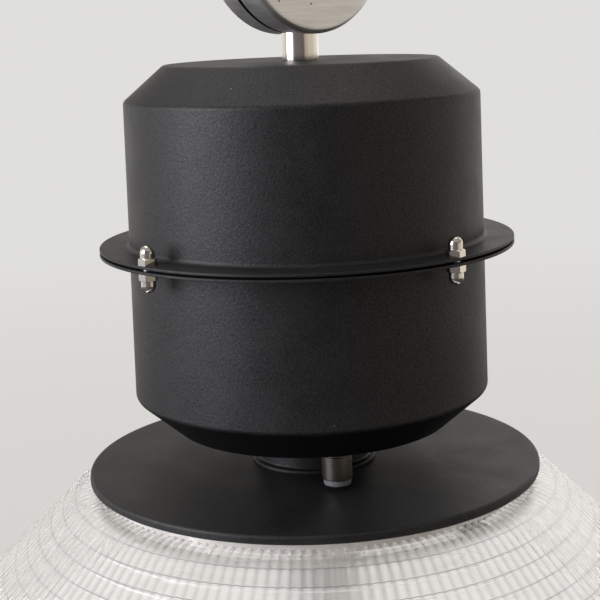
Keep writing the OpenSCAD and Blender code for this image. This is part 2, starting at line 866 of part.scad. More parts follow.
// Cord grip through the can's floor
module cord_grip_body() {
    top = floor_z + grip_nut_h + 1;
    color("silver")
    translate([grip_x, grip_y, 0])
        turned([[grip_bore_r, top, 0], [grip_thread_r, top, 0.4], [grip_thread_r, can_bottom_z, 0],
            [grip_r, can_bottom_z, 0.3], [grip_r, can_bottom_z - 3, 0.3],
            [grip_r - 0.5, can_bottom_z - 3.3, 0], [grip_r - 0.5, can_bottom_z - 3.8, 0],
            [grip_r, can_bottom_z - 4.1, 0.3], [grip_r, can_bottom_z - grip_l, 0.6],
            [plug_r + 0.1, can_bottom_z - grip_l, 0], [plug_r + 0.1, can_bottom_z - grip_l + 5, 0],
            [grip_bore_r, can_bottom_z - grip_l + 5, 0]]);
}

// White plug that closes the cord grip
module cord_grip_plug() {
    seat_z = can_bottom_z - grip_l + 5;
    color("white")
    translate([grip_x, grip_y, 0])
        turned([[0, seat_z, 0], [plug_r, seat_z, 0.3], [plug_r, can_bottom_z - grip_l - plug_l, 0.8],
            [0, can_bottom_z - grip_l - plug_l, 0]]);
}

// Nut of the cord grip, inside the can
module cord_grip_locknut() {
    color("silver")
    translate([grip_x, grip_y, floor_z])
        hex_nut(grip_thread_r * 2.7, grip_nut_h, grip_thread_r + thread_gap);
}

// Neck between the can and the top disc
module neck_collar() {
    color("dimgray")
    turned([[nipple_hole_r, can_bottom_z, 0], [neck_r, can_bottom_z, 1], [neck_r, disc_top_z + neck_foot_t, 1],
        [neck_foot_r, disc_top_z + neck_foot_t, 0.8], [neck_foot_r, disc_top_z, 0.2],
        [neck_r - 2, disc_top_z, 0], [neck_r - 2, can_bottom_z - 2, 1], [nipple_hole_r, can_bottom_z - 2, 0]]);
}

// Threaded tube through the can's floor, the neck, the disc and the lampholder's cap
module neck_nipple() {
    top = floor_z + nipple_nut_h + 1;
    bottom = holder_top_z - 8;
    color("silver")
    turned([[nipple_r - nipple_wall, bottom, 0], [nipple_r, bottom, 0.3], [nipple_r, top, 0.3],
        [nipple_r - nipple_wall, top, 0]]);
}

// Nuts on the neck's threaded tube, in the can and under the disc
module neck_nuts() {
    color("silver")
    for (z = [floor_z, disc_under_z - nipple_nut_h])
        translate([0, 0, z])
            hex_nut(nipple_nut_af, nipple_nut_h, nipple_r + thread_gap);
}

// Top disc with a turned-down edge and an inner ring for the clips
module top_disc() {
    edge_z = disc_top_z - disc_edge_h;
    ring_z = disc_under_z - clip_ring_h;
    color("dimgray")
    difference() {
        turned([[nipple_hole_r, disc_top_z, 0], [disc_r, disc_top_z, 1.6], [disc_r, edge_z, 0.6],
            [disc_lip_r, edge_z, 0.4], [disc_lip_r, disc_under_z, 0], [clip_ring_r, disc_under_z, 0],
            [clip_ring_r, ring_z, 0.5], [clip_ring_r - clip_ring_t, ring_z, 0.5],
            [clip_ring_r - clip_ring_t, disc_under_z, 0], [nipple_hole_r, disc_under_z, 0]]);
        ring_of(clip_n, clip_ring_r - clip_ring_t - past, 30)
            translate([0, 0, disc_under_z - clip_screw_drop])
                rotate([0, 90, 0])
                    cylinder(r = screw_r + hole_gap, h = clip_ring_t + 2 * past);
    }
}

// White plate under the top disc, pressed into the inner ring
module reflector_plate() {
    plate_r = clip_ring_r - clip_ring_t - seat_gap;
    color("white")
    turned([[reflector_hole_r, disc_under_z - reflector_t, 0.2], [plate_r, disc_under_z - reflector_t, 0.2],
        [plate_r, disc_under_z, 0], [reflector_hole_r, disc_under_z, 0]]);
}

// Gasket between the glass and the disc, with a skirt that lines the glass's neck
module glass_gasket() {
    skirt_r = glass_inner_r * cos(180 / inside_n) - seat_gap;
    skirt_z = shoulder_z - glass_wall + 0.4;
    color("white")
    turned([[skirt_r - glass_gasket_t, skirt_z, 0.3], [skirt_r, skirt_z, 0.3], [skirt_r, glass_top_z, 0],
        [glass_neck_r + 0.5, glass_top_z, 0.3], [glass_neck_r + 0.5, disc_under_z, 0.3],
        [skirt_r - glass_gasket_t, disc_under_z, 0]]);
}

// Spring clips that hook under the glass's neck
module glass_clips() {
    foot_r = glass_inner_r + 3;
    color("silver")
    for (i = [0 : clip_n - 1])
        rotate([0, 0, 30 + 360 * i / clip_n - clip_w_a / 2])
            difference() {
                turned([[clip_inner_r, disc_under_z - 0.5, 0], [clip_inner_r + clip_t, disc_under_z - 0.5, 0],
                    [clip_inner_r + clip_t, clip_foot_z, 0.8], [foot_r, clip_foot_z, 0],
                    [foot_r, clip_foot_z - clip_t, 0], [clip_inner_r, clip_foot_z - clip_t, 1.5]],
                    clip_w_a);
                rotate([0, 0, clip_w_a / 2])
                    translate([clip_ring_r - past, 0, disc_under_z - clip_screw_drop])
                        rotate([0, 90, 0])
                            cylinder(r = screw_r + thread_gap, h = clip_t + 2 * past);
            }
}

// Screws that hold the clips, put in from inside the ring
module clip_screws() {
    color("silver")
    ring_of(clip_n, clip_seat_r, 30)
        translate([0, 0, disc_under_z - clip_screw_drop])
            rotate([0, -90, 0])
                screw(screw_r, clip_ring_t + clip_t + 0.8, screw_head_r, screw_head_h);
}

// Level ring of points around Z
function level_ring(r, z, count) =
    [for (i = [0 : count - 1]) [r * cos(360 * i / count), r * sin(360 * i / count), z]];

// Ring of points on the ribs' crests and in the valleys between them, at arc length s
function ribbed_ring(s) =
    [for (i = [0 : outside_n - 1])
        let (p = bell_inside(s, i % 2 * rib_depth), a = 360 * i / outside_n)
        [p[0] * cos(a), p[0] * sin(a), p[1]]];

// Triangles between two rings of count points, whose first points are number a and number b
function band(a, b, count) =
    [for (i = [0 : count - 1])
        let (j = (i + 1) % count)
        each [[a + i, a + j, b + j], [a + i, b + j, b + i]]];

// Flat faces between an outside ring, from point number a, and an inside ring, from point number b
function flat_band(a, b) =
    let (step = outside_n / inside_n)
    [for (i = [0 : inside_n - 1])
        let (j = (i + 1) % inside_n)
        [for (k = [0 : step]) a + (i * step + k) % outside_n, b + j, b + i]];

// Bell-shaped glass with upright ribs on its outside and ring prisms on its inside
module glass_shade() {
    stations = [0, turn_l / 2, turn_l, turn_l + slope_l,
        for (i = [1 : 4]) turn_l + slope_l + bell_l * i / 4, glass_l];
    outside = concat(
        [level_ring(glass_neck_r, glass_top_z, outside_n)],
        [for (s = stations) ribbed_ring(s)],
        [level_ring(rim_r + 1.2, rim_z - 2, outside_n), level_ring(rim_r, rim_z - 5, outside_n)]);
    inside_profile = concat(
        [[rim_r - glass_wall + 1, rim_z - 5], [rim_r - glass_wall, rim_z - 3.5], [rim_r - glass_wall, rim_z]],
        [for (i = [ring_n : -1 : 1]) each [
            bell_inside(first_ring_s + i * ring_pitch, glass_wall - ring_depth / 2),
            bell_inside(first_ring_s + (i - 1) * ring_pitch, glass_wall + ring_depth / 2)]],
        [bell_inside(turn_l / 2, glass_wall), bell_inside(0, glass_wall),
            [glass_inner_r, shoulder_z - glass_wall], [glass_inner_r, glass_top_z]]);
    inside = [for (p = inside_profile) level_ring(p[0], p[1], inside_n)];
    first_inside = len(outside) * outside_n;
    last_inside = first_inside + (len(inside) - 1) * inside_n;
    color("lightcyan", 0.5)
    polyhedron(
        points = concat([for (ring = outside) each ring], [for (ring = inside) each ring]),
        faces = concat(
            [for (k = [0 : len(outside) - 2])
                each band(k * outside_n, (k + 1) * outside_n, outside_n)],
            flat_band((len(outside) - 1) * outside_n, first_inside),
            [for (k = [0 : len(inside) - 2])
                each band(first_inside + k * inside_n, first_inside + (k + 1) * inside_n, inside_n)],
            [for (face = flat_band(0, last_inside)) [for (i = [len(face) - 1 : -1 : 0]) face[i]]]));
}

// Spun metal cap of the lampholder, on the end of the threaded tube
module holder_cap() {
    skirt_r = holder_r + 0.4;
    color("dimgray")
    turned([[nipple_r + thread_gap, holder_top_z, 0], [nipple_r + 4, holder_top_z, 1],
        [nipple_r + 5, holder_top_z - 5, 3], [skirt_r, porcelain_top_z + 4, 5],
        [skirt_r, porcelain_top_z - holder_cap_lap, 0.5],
        [skirt_r - 1.2, porcelain_top_z - holder_cap_lap, 0.3],
        [skirt_r - 1.2, porcelain_top_z, 0], [nipple_r + 3.5, porcelain_top_z, 0],
        [nipple_r + thread_gap, porcelain_top_z + 3, 0]]);
}

// Porcelain body of the lampholder
module holder_body() {
    neck = holder_r - 1;
    step_z = porcelain_top_z - holder_cap_lap - 1;
    color("white")
    turned([[3, porcelain_top_z, 0], [neck, porcelain_top_z, 0.5], [neck, step_z, 0],
        [holder_r + 1, step_z, 0.8], [holder_r + 1, step_z - 6, 3],
        [holder_r - 2, porcelain_top_z - holder_l * 0.7, 6], [holder_r - 2, porcelain_end_z, 1.5],
        [socket_r, porcelain_end_z, 1], [socket_r, socket_top_z, 0], [3, socket_top_z, 0]]);
}

// Brass screw shell in the lampholder
module holder_shell() {
    outer = socket_r - 0.2;
    bottom = porcelain_end_z + 3;
    color("gold")
    turned([[6, socket_top_z, 0], [outer, socket_top_z, 0.8], [outer, bottom, 0.2],
        [outer - shell_t, bottom, 0.2], [outer - shell_t, socket_top_z - shell_t, 0],
        [6, socket_top_z - shell_t, 0]]);
}

// Centre contact of the lampholder
module holder_contact() {
    color("gold")
    turned([[0, socket_top_z, 0], [5, socket_top_z, 0], [5, socket_top_z - 1, 0.2],
        [3.5, socket_top_z - 1, 0], [3, socket_top_z - 1 - contact_h, 1], [0, socket_top_z - 1 - contact_h, 0]]);
}

// Contact at the tip of the bulb's cap
module bulb_contact() {
    color("lightgray")
    turned([[0, bulb_top_z, 0], [4.6, bulb_top_z, 1], [4.6, bulb_top_z - bulb_tip_h, 0],
        [0, bulb_top_z - bulb_tip_h, 0]]);
}

// Insulator between the contact and the bulb's cap
module bulb_insulator() {
    top = bulb_top_z - bulb_tip_h - turn_gap;
    color("black")
    turned([[0, top, 0], [5.4, top, 0.3], [cap_r - 3, cap_top_z, 0], [0, cap_top_z, 0]]);
}

// Screw cap of the bulb, with its thread as rounded rolls
module bulb_cap() {
    root_r = cap_r - 0.7;
    rolls = floor((cap_l - 6) / thread_pitch);
    color("silver")
    rotate_extrude()
        polygon(concat(
            [[0, cap_top_z], [cap_r - 3, cap_top_z], [root_r, cap_top_z - 2]],
            [for (i = [0 : rolls - 1]) each [
                [root_r, cap_top_z - 2.4 - i * thread_pitch],
                [cap_r - 0.2, cap_top_z - 2.4 - (i + 0.25) * thread_pitch],
                [cap_r, cap_top_z - 2.4 - (i + 0.5) * thread_pitch],
                [cap_r - 0.2, cap_top_z - 2.4 - (i + 0.75) * thread_pitch]]],
            [[root_r, cap_top_z - 2.4 - rolls * thread_pitch], [root_r, cap_end_z],
                [root_r - 0.5, cap_end_z], [root_r - 0.5, cap_top_z - 3], [0, cap_top_z - 3]]));
}

// Outline of the bulb's glass, moved inwards by depth
function bulb_outline(depth) = [
    [cap_r - 1.6 - depth, cap_end_z + 6, 0],
    [cap_r - 1.6 - depth, cap_end_z, 0],
    [cap_r + 1 - depth, cap_end_z - 8, 12],
    [bulb_r - depth, bulb_end_z + bulb_r * 1.65, 30 - depth],
    [bulb_r - depth, bulb_end_z + depth, bulb_r - depth - 0.01],
    [0, bulb_end_z + depth, 0]];

// Glass of the bulb
module bulb_glass() {
    outer = bulb_outline(0);
    inner = bulb_outline(bulb_wall);
    last = len(inner) - 1;
    color("white", 0.8)
    rotate_extrude()
        polygon(rounded(concat(outer, [for (i = [last : -1 : 0]) inner[i]])));
}

hanging_eye();
eye_nut();
hanger_front_half();
hanger_rear_half();
hanger_screws();
entry_grommet();
stem_sleeve();
stem_nipple();
stem_nuts();
can_stiffener();
upper_can();
lower_can();
flange_gasket();
flange_studs();
upper_cap_nuts();
lower_cap_nuts();
gear_spacers();
gear_tray();
gear_screws();
ballast_core();
ballast_coil();
ballast_bracket();
ballast_screws();
capacitor();
ignitor();
terminal_block();
terminal_screws();
cord_grip_body();
cord_grip_plug();
cord_grip_locknut();
neck_collar();
neck_nipple();
neck_nuts();
top_disc();
reflector_plate();
glass_gasket();
glass_clips();
clip_screws();
glass_shade();
holder_cap();
holder_body();
holder_shell();
holder_contact();
bulb_contact();
bulb_insulator();
bulb_cap();
bulb_glass();
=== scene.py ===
import json
import math
import bmesh
import bpy
from mathutils import Matrix, Vector


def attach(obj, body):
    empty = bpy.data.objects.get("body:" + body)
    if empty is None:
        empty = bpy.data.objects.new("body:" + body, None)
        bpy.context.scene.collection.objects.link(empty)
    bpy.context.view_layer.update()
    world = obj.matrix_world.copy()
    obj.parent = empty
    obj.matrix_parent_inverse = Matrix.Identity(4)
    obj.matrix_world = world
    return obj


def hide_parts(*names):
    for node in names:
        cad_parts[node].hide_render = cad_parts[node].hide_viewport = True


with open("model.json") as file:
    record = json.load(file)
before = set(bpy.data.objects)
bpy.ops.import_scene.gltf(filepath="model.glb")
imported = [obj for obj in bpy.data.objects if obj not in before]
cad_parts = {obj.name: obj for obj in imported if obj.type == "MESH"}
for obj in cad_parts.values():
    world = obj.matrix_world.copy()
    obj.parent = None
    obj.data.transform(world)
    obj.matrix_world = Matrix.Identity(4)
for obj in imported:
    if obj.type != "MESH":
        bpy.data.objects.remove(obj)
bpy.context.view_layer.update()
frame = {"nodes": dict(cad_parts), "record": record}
cadNodes = frame["nodes"]
mm = 0.001


cameraSettings = {
    "place": (-0.4873, -0.5296, -0.1109),
    "pitch": 85.13,       # degrees up from straight down
    "heading": -42.5,
    "roll": -2.07,
    "lens": 85.32, "sensor": 36.0,
    "shift": -0.2768,     # the photo is the lower part of a taller frame
    "nearest": 0.01, "farthest": 60.0,
}


def placeCamera(settings):
    data = bpy.data.cameras.new("photoCamera")
    data.lens = settings["lens"]
    data.sensor_width = settings["sensor"]
    data.shift_y = settings["shift"]
    data.clip_start = settings["nearest"]
    data.clip_end = settings["farthest"]
    camera = bpy.data.objects.new("photoCamera", data)
    turn = Matrix.Rotation(math.radians(settings["heading"]), 4, "Z")
    tilt = Matrix.Rotation(math.radians(settings["pitch"]), 4, "X")
    roll = Matrix.Rotation(math.radians(settings["roll"]), 4, "Z")
    camera.matrix_world = Matrix.Translation(settings["place"]) @ turn @ tilt @ roll
    bpy.context.scene.collection.objects.link(camera)
    bpy.context.scene.camera = camera


placeCamera(cameraSettings)
print("camera placed")


def setInput(tree, socket, value):
    # another node's output is linked, and a plain value is set, a colour with its alpha
    if isinstance(value, bpy.types.NodeSocket):
        tree.links.new(value, socket)
    elif socket.type == "RGBA":
        socket.default_value = (*value, 1.0)
    else:
        socket.default_value = value


def addNode(tree, kind, inputs=None, **options):
    made = tree.nodes.new(kind)
    for name, value in options.items():
        setattr(made, name, value)
    for socket, value in (inputs or {}).items():
        setInput(tree, made.inputs[socket], value)
    return made


def newFinish(name):
    finish = bpy.data.materials.new(name)
    finish.use_nodes = True
    tree = finish.node_tree
    tree.nodes.clear()
    shader = addNode(tree, "ShaderNodeBsdfPrincipled")
    addNode(tree, "ShaderNodeOutputMaterial", {"Surface": shader.outputs[0]})
    place = addNode(tree, "ShaderNodeTexCoord").outputs["Object"]
    return finish, tree, shader, place


def mixShaders(tree, share, first, second):
    # first and second mixed by share become the finish, in place of the plain shader
    mixed = addNode(tree, "ShaderNodeMixShader", {0: share, 1: first.outputs[0], 2: second.outputs[0]})
    tree.links.new(mixed.outputs[0], tree.nodes["Material Output"].inputs["Surface"])


def feed(tree, shader, **values):
    names = {"colour": "Base Color", "roughness": "Roughness", "normal": "Normal", "metallic": "Metallic",
             "specular": "Specular IOR Level", "coat": "Coat Weight", "ior": "IOR",
             "transmission": "Transmission Weight", "anisotropy": "Anisotropic"}
    for name, value in values.items():
        setInput(tree, shader.inputs[names[name]], value)


def calculated(tree, operation, first, second=0.0):
    return addNode(tree, "ShaderNodeMath", {0: first, 1: second}, operation=operation).outputs[0]


def added(tree, first, second):
    return calculated(tree, "ADD", first, second)


def minus(tree, first, second):
    return calculated(tree, "SUBTRACT", first, second)


def times(tree, first, second):
    return calculated(tree, "MULTIPLY", first, second)


def offWhole(tree, value):
    # how far value is from the nearest whole number
    return calculated(tree, "ABSOLUTE", minus(tree, value, calculated(tree, "ROUND", value)))


def measured(tree, operation, first, second=(0.0, 0.0, 0.0)):
    # a length, a distance or a dot product
    made = addNode(tree, "ShaderNodeVectorMath", {0: first, 1: second}, operation=operation)
    return made.outputs["Value"]


def productOf(tree, first, second):
    made = addNode(tree, "ShaderNodeVectorMath", {0: first, 1: second}, operation="MULTIPLY")
    return made.outputs["Vector"]


def axesOf(tree, place):
    return addNode(tree, "ShaderNodeSeparateXYZ", {"Vector": place}).outputs


def ranged(tree, value, span, result=(0.0, 1.0)):
    # value within span, carried over to result and held at its ends
    return addNode(tree, "ShaderNodeMapRange",
                   {"Value": value, "From Min": span[0], "From Max": span[1],
                    "To Min": result[0], "To Max": result[1]}).outputs["Result"]


def blended(tree, factor, first, second):
    # colour between first and second
    return addNode(tree, "ShaderNodeMix", {0: factor, 6: first, 7: second}, data_type="RGBA").outputs[2]


def noiseAt(tree, place, scale, detail=3.0, roughness=0.55):
    inputs = {"Vector": place, "Scale": scale, "Detail": detail, "Roughness": roughness}
    return addNode(tree, "ShaderNodeTexNoise", inputs).outputs["Fac"]


def streaksAt(tree, place, scales, detail=3.0, roughness=0.55):
    # noise with its own scale along each axis, for brushing, drips and flow marks
    stretched = addNode(tree, "ShaderNodeMapping", {"Vector": place, "Scale": scales}).outputs[0]
    return noiseAt(tree, stretched, 1.0, detail, roughness)


def cellsAt(tree, place, scale, **options):
    return addNode(tree, "ShaderNodeTexVoronoi", {"Vector": place, "Scale": scale}, **options).outputs


def dotsAt(tree, place, scale, chance, size):
    # round dots in the few cells whose random value is above chance
    cells = cellsAt(tree, place, scale)
    drawn = addNode(tree, "ShaderNodeSeparateColor", {"Color": cells["Color"]}).outputs[0]
    return times(tree, calculated(tree, "GREATER_THAN", drawn, chance),
                 calculated(tree, "LESS_THAN", cells["Distance"], size))


def bumped(tree, height, strength, distance):
    return addNode(tree, "ShaderNodeBump",
                   {"Height": height, "Strength": strength, "Distance": distance}).outputs[0]


noiseMiddle = (0.3, 0.7)     # most of a noise lies between these two


powderCoat = {
    "low": (0.006, 0.006, 0.0068), "high": (0.029, 0.0285, 0.0295),
    "grain": 1200.0, "fine": 2040.0, "pebble": 744.0, "blotch": 45.0,
    "grainTone": 0.75, "blotchTone": 0.25, "blotchEdges": (0.35, 0.65),
    "roughness": (0.44, 0.54), "shine": (0.30, 0.57), "shineEdges": (0.55, 0.95), "grainShine": 0.5,
    "pebbleDepth": -0.8, "bump": 0.45, "relief": 0.00018,
    "speck": (0.30, 0.27, 0.22), "speckCells": 150.0, "speckChance": 0.965,
    "speckSize": 0.055, "speckShare": 0.6,
    # the heights, in metres, between which the painted shade on the lower chamfer begins and ends
    "chamferFoot": (-0.3190, -0.3187), "chamferTop": (-0.3025, -0.3000),
    "paintedShadeShine": 0.30, "paintedShadeDepth": 0.7,
}


def makePowderCoat(look):
    finish, tree, shader, place = newFinish("blackPowderCoat")
    grain = noiseAt(tree, place, look["grain"], 2.0, 0.6)
    fine = noiseAt(tree, place, look["fine"], 1.0, 0.5)
    pebble = cellsAt(tree, place, look["pebble"], feature="SMOOTH_F1")["Distance"]
    height = added(tree, grain, times(tree, pebble, look["pebbleDepth"]))
    blotch = noiseAt(tree, place, look["blotch"], 4.0)
    tone = added(tree, ranged(tree, grain, noiseMiddle, (0.0, look["grainTone"])),
                 ranged(tree, blotch, look["blotchEdges"], (0.0, look["blotchTone"])))
    coat = blended(tree, tone, look["low"], look["high"])
    # a few pale dust specks, one cell in many
    speck = times(tree, dotsAt(tree, place, look["speckCells"], look["speckChance"], look["speckSize"]),
                  look["speckShare"])
    # painted shade: the can's lower chamfer is coloured a deeper black than the rest of the coat, as if it
    # faced a dark room
    z = axesOf(tree, place)["Z"]
    paintedShade = times(tree, ranged(tree, z, look["chamferFoot"]),
                  ranged(tree, z, look["chamferTop"], (1.0, 0.0)))
    coat = blended(tree, times(tree, paintedShade, look["paintedShadeDepth"]), coat, look["low"])
    shine = ranged(tree, added(tree, fine, times(tree, grain, look["grainShine"])),
                   look["shineEdges"], look["shine"])
    # painted shade: the lower chamfer also gets less shine
    shine = times(tree, shine, ranged(tree, paintedShade, (0.0, 1.0), (1.0, look["paintedShadeShine"])))
    feed(tree, shader,
         colour=blended(tree, speck, coat, look["speck"]),
         roughness=ranged(tree, blotch, noiseMiddle, look["roughness"]),
         normal=bumped(tree, height, look["bump"], look["relief"]),
         specular=shine)
    return finish


nickelPlate = {
    "colour": (0.80, 0.755, 0.69), "shadow": (0.66, 0.61, 0.56),
    "cloud": 90.0, "cloudEdges": (0.45, 0.75), "cloudShade": 0.5,
    "polishing": (900.0, 900.0, 40.0), "lineWear": 0.4, "wearEdges": (0.4, 0.95),
    "roughness": (0.07, 0.17), "bump": 0.06, "relief": 0.00005,
}


def makePolishedNickel(look):
    finish, tree, shader, place = newFinish("polishedNickel")
    cloud = noiseAt(tree, place, look["cloud"], 5.0)
    lines = streaksAt(tree, place, look["polishing"], 2.0)
    shade = ranged(tree, cloud, look["cloudEdges"], (0.0, look["cloudShade"]))
    wear = added(tree, cloud, times(tree, lines, look["lineWear"]))
    feed(tree, shader,
         colour=blended(tree, shade, look["colour"], look["shadow"]),
         metallic=1.0,
         roughness=ranged(tree, wear, look["wearEdges"], look["roughness"]),
         normal=bumped(tree, lines, look["bump"], look["relief"]))
    return finish


brushedPlate = {
    "low": (0.225, 0.20, 0.17), "high": (0.30, 0.275, 0.245),
    "brushing": (60.0, 60.0, 5200.0), "cloud": 160.0, "cloudTone": 0.4, "toneEdges": (0.45, 0.95),
    "roughness": (0.27, 0.35), "anisotropy": 0.45, "bump": 0.05, "relief": 0.00004,
}


def makeBrushedNickel(look):
    finish, tree, shader, place = newFinish("brushedNickel")
    rings = streaksAt(tree, place, look["brushing"])
    cloud = noiseAt(tree, place, look["cloud"])
    tone = ranged(tree, added(tree, rings, times(tree, cloud, look["cloudTone"])), look["toneEdges"])
    feed(tree, shader,
         colour=blended(tree, tone, look["low"], look["high"]),
         metallic=1.0,
         roughness=ranged(tree, rings, noiseMiddle, look["roughness"]),
         normal=bumped(tree, rings, look["bump"], look["relief"]),
         anisotropy=look["anisotropy"])
    return finish


castFace = {
    # the darkest colour serves the casting pits and the painted shade in the seam
    "low": (0.69, 0.68, 0.665), "high": (0.97, 0.96, 0.945), "pitAndSeamShade": (0.02, 0.02, 0.02),
    "fine": (90.0, 90.0, 3000.0), "coarse": (22.0, 40.0, 420.0), "smudge": 34.0,
    "fineTone": 0.45, "coarseTone": 0.35, "smudgeTone": 0.35, "toneEdges": (0.42, 0.74),
    "metallic": 0.92, "roughness": (0.33, 0.52), "fineWear": 0.3, "wearEdges": (0.4, 0.9),
    "bump": 0.12, "relief": 0.00008,
    "pitCells": 75.0, "pitChance": 0.90, "pitSize": 0.030,
    "facePits": ((-0.0267, -0.0154, -0.1049), (-0.0056, -0.0154, -0.1067)),
    "facePitEdges": (0.00035, 0.00065),
    "seam": 0.0012, "seamHalf": 0.0010, "seamFade": 1.4,     # the seam's place on Y and half its width
}


def makeCastAluminium(look):
    finish, tree, shader, place = newFinish("brushedCastAluminium")
    fine = streaksAt(tree, place, look["fine"], 4.0, 0.65)
    coarse = streaksAt(tree, place, look["coarse"])
    smudge = noiseAt(tree, place, look["smudge"], 5.0, 0.6)
    tone = added(tree, times(tree, fine, look["fineTone"]),
                 added(tree, times(tree, coarse, look["coarseTone"]),
                       times(tree, smudge, look["smudgeTone"])))
    metal = blended(tree, ranged(tree, tone, look["toneEdges"]), look["low"], look["high"])
    wear = added(tree, smudge, times(tree, fine, look["fineWear"]))
    # casting pits anywhere, and the two that show on the front face
    pitAndSeamShade = dotsAt(tree, place, look["pitCells"], look["pitChance"], look["pitSize"])
    for spot in look["facePits"]:
        reach = measured(tree, "DISTANCE", place, spot)
        pitAndSeamShade = calculated(tree, "MAXIMUM", pitAndSeamShade, ranged(tree, reach, look["facePitEdges"], (1.0, 0.0)))
    # painted shade: the metal is darkened to the pit colour along the seam between the halves
    off = calculated(tree, "ABSOLUTE", minus(tree, axesOf(tree, place)["Y"], look["seam"]))
    seamShade = ranged(tree, off, (look["seamHalf"], look["seamHalf"] * look["seamFade"]), (1.0, 0.0))
    pitAndSeamShade = calculated(tree, "MAXIMUM", pitAndSeamShade, seamShade)
    feed(tree, shader,
         colour=blended(tree, pitAndSeamShade, metal, look["pitAndSeamShade"]),
         metallic=look["metallic"],
         roughness=ranged(tree, wear, look["wearEdges"], look["roughness"]),
         normal=bumped(tree, minus(tree, fine, pitAndSeamShade), look["bump"], look["relief"]))
    return finish


zincPattern = {"spangle": 260.0, "cloud": 120.0, "bump": 0.10, "relief": 0.0001}


def makeZinc(name, low, high, roughness, look=zincPattern):
    # bright or dull plating with a spangled, slightly cloudy surface
    finish, tree, shader, place = newFinish(name)
    spangle = cellsAt(tree, place, look["spangle"])["Distance"]
    cloud = noiseAt(tree, place, look["cloud"], 4.0)
    feed(tree, shader,
         colour=blended(tree, times(tree, cloud, spangle), high, low),
         metallic=1.0,
         roughness=ranged(tree, cloud, noiseMiddle, roughness),
         normal=bumped(tree, added(tree, spangle, cloud), look["bump"], look["relief"]))
    return finish


rubberPattern = {
    "grain": 1100.0, "dust": 80.0, "smoother": -0.06, "rougher": 0.08, "specular": 0.35,
    "bump": 0.25, "relief": 0.00012,
}


def makeRubber(name, low, high, roughness, look=rubberPattern):
    finish, tree, shader, place = newFinish(name)
    grain = noiseAt(tree, place, look["grain"])
    dust = noiseAt(tree, place, look["dust"], 4.0)
    spread = (roughness + look["smoother"], roughness + look["rougher"])
    feed(tree, shader,
         colour=blended(tree, ranged(tree, dust, noiseMiddle), low, high),
         roughness=ranged(tree, dust, noiseMiddle, spread),
         normal=bumped(tree, grain, look["bump"], look["relief"]),
         specular=look["specular"])
    return finish


mouldedPattern = {
    "flow": (60.0, 60.0, 140.0), "orange": 420.0, "smoother": 0.8, "rougher": 1.2, "relief": 0.0002,
}


def makeMoulded(name, low, high, roughness, bump, look=mouldedPattern):
    # moulded plastic or glazed ceramic, with faint flow marks
    finish, tree, shader, place = newFinish(name)
    flow = streaksAt(tree, place, look["flow"])
    orange = noiseAt(tree, place, look["orange"], 2.0)
    spread = (roughness * look["smoother"], roughness * look["rougher"])
    feed(tree, shader,
         colour=blended(tree, ranged(tree, flow, noiseMiddle), low, high),
         roughness=ranged(tree, orange, noiseMiddle, spread),
         normal=bumped(tree, orange, bump, look["relief"]))
    return finish


laminations = {
    "dark": (0.05, 0.045, 0.042), "pale": (0.20, 0.19, 0.18),
    "sheets": 320.0, "waver": 0.4, "drips": (90.0, 90.0, 30.0),
    "metallic": 0.6, "roughness": (0.32, 0.55), "bump": 0.5, "relief": 0.0002,
}


def makeLaminations(look):
    finish, tree, shader, place = newFinish("varnishedLaminations")
    sheets = addNode(tree, "ShaderNodeTexWave",
                     {"Vector": place, "Scale": look["sheets"], "Distortion": look["waver"], "Detail": 2.0},
                     wave_type="BANDS", bands_direction="X").outputs["Fac"]
    drips = streaksAt(tree, place, look["drips"], 4.0)
    feed(tree, shader,
         colour=blended(tree, times(tree, sheets, drips), look["dark"], look["pale"]),
         metallic=look["metallic"],
         roughness=ranged(tree, drips, noiseMiddle, look["roughness"]),
         normal=bumped(tree, sheets, look["bump"], look["relief"]))
    return finish


winding = {
    "dark": (0.24, 0.075, 0.022), "pale": (0.46, 0.19, 0.07),
    "turns": 260.0, "waver": 0.8, "lacquer": 150.0,
    "metallic": 0.45, "roughness": (0.22, 0.40), "coat": 0.5, "bump": 0.8, "relief": 0.00035,
}


def makeWinding(look):
    finish, tree, shader, place = newFinish("varnishedWinding")
    turns = addNode(tree, "ShaderNodeTexWave",
                    {"Vector": place, "Scale": look["turns"], "Distortion": look["waver"], "Detail": 2.0,
                     "Detail Scale": 1.5},
                    wave_type="BANDS", bands_direction="Z", wave_profile="SIN").outputs["Fac"]
    lacquer = noiseAt(tree, place, look["lacquer"], 4.0)
    feed(tree, shader,
         colour=blended(tree, lacquer, look["dark"], look["pale"]),
         metallic=look["metallic"],
         roughness=ranged(tree, lacquer, noiseMiddle, look["roughness"]),
         normal=bumped(tree, turns, look["bump"], look["relief"]),
         coat=look["coat"])
    return finish


brass = {
    "bright": (0.76, 0.55, 0.26), "tarnished": (0.46, 0.30, 0.13),
    "tarnish": 110.0, "tarnishEdges": (0.35, 0.7), "turning": (80.0, 80.0, 2600.0),
    "roughness": (0.18, 0.34), "bump": 0.12, "relief": 0.00006,
}


def makeBrass(look):
    finish, tree, shader, place = newFinish("plainBrass")
    tarnish = noiseAt(tree, place, look["tarnish"], 5.0, 0.6)
    lines = streaksAt(tree, place, look["turning"], 2.0)
    dulled = ranged(tree, tarnish, look["tarnishEdges"])
    feed(tree, shader,
         colour=blended(tree, dulled, look["bright"], look["tarnished"]),
         metallic=1.0,
         roughness=ranged(tree, tarnish, noiseMiddle, look["roughness"]),
         normal=bumped(tree, lines, look["bump"], look["relief"]))
    return finish


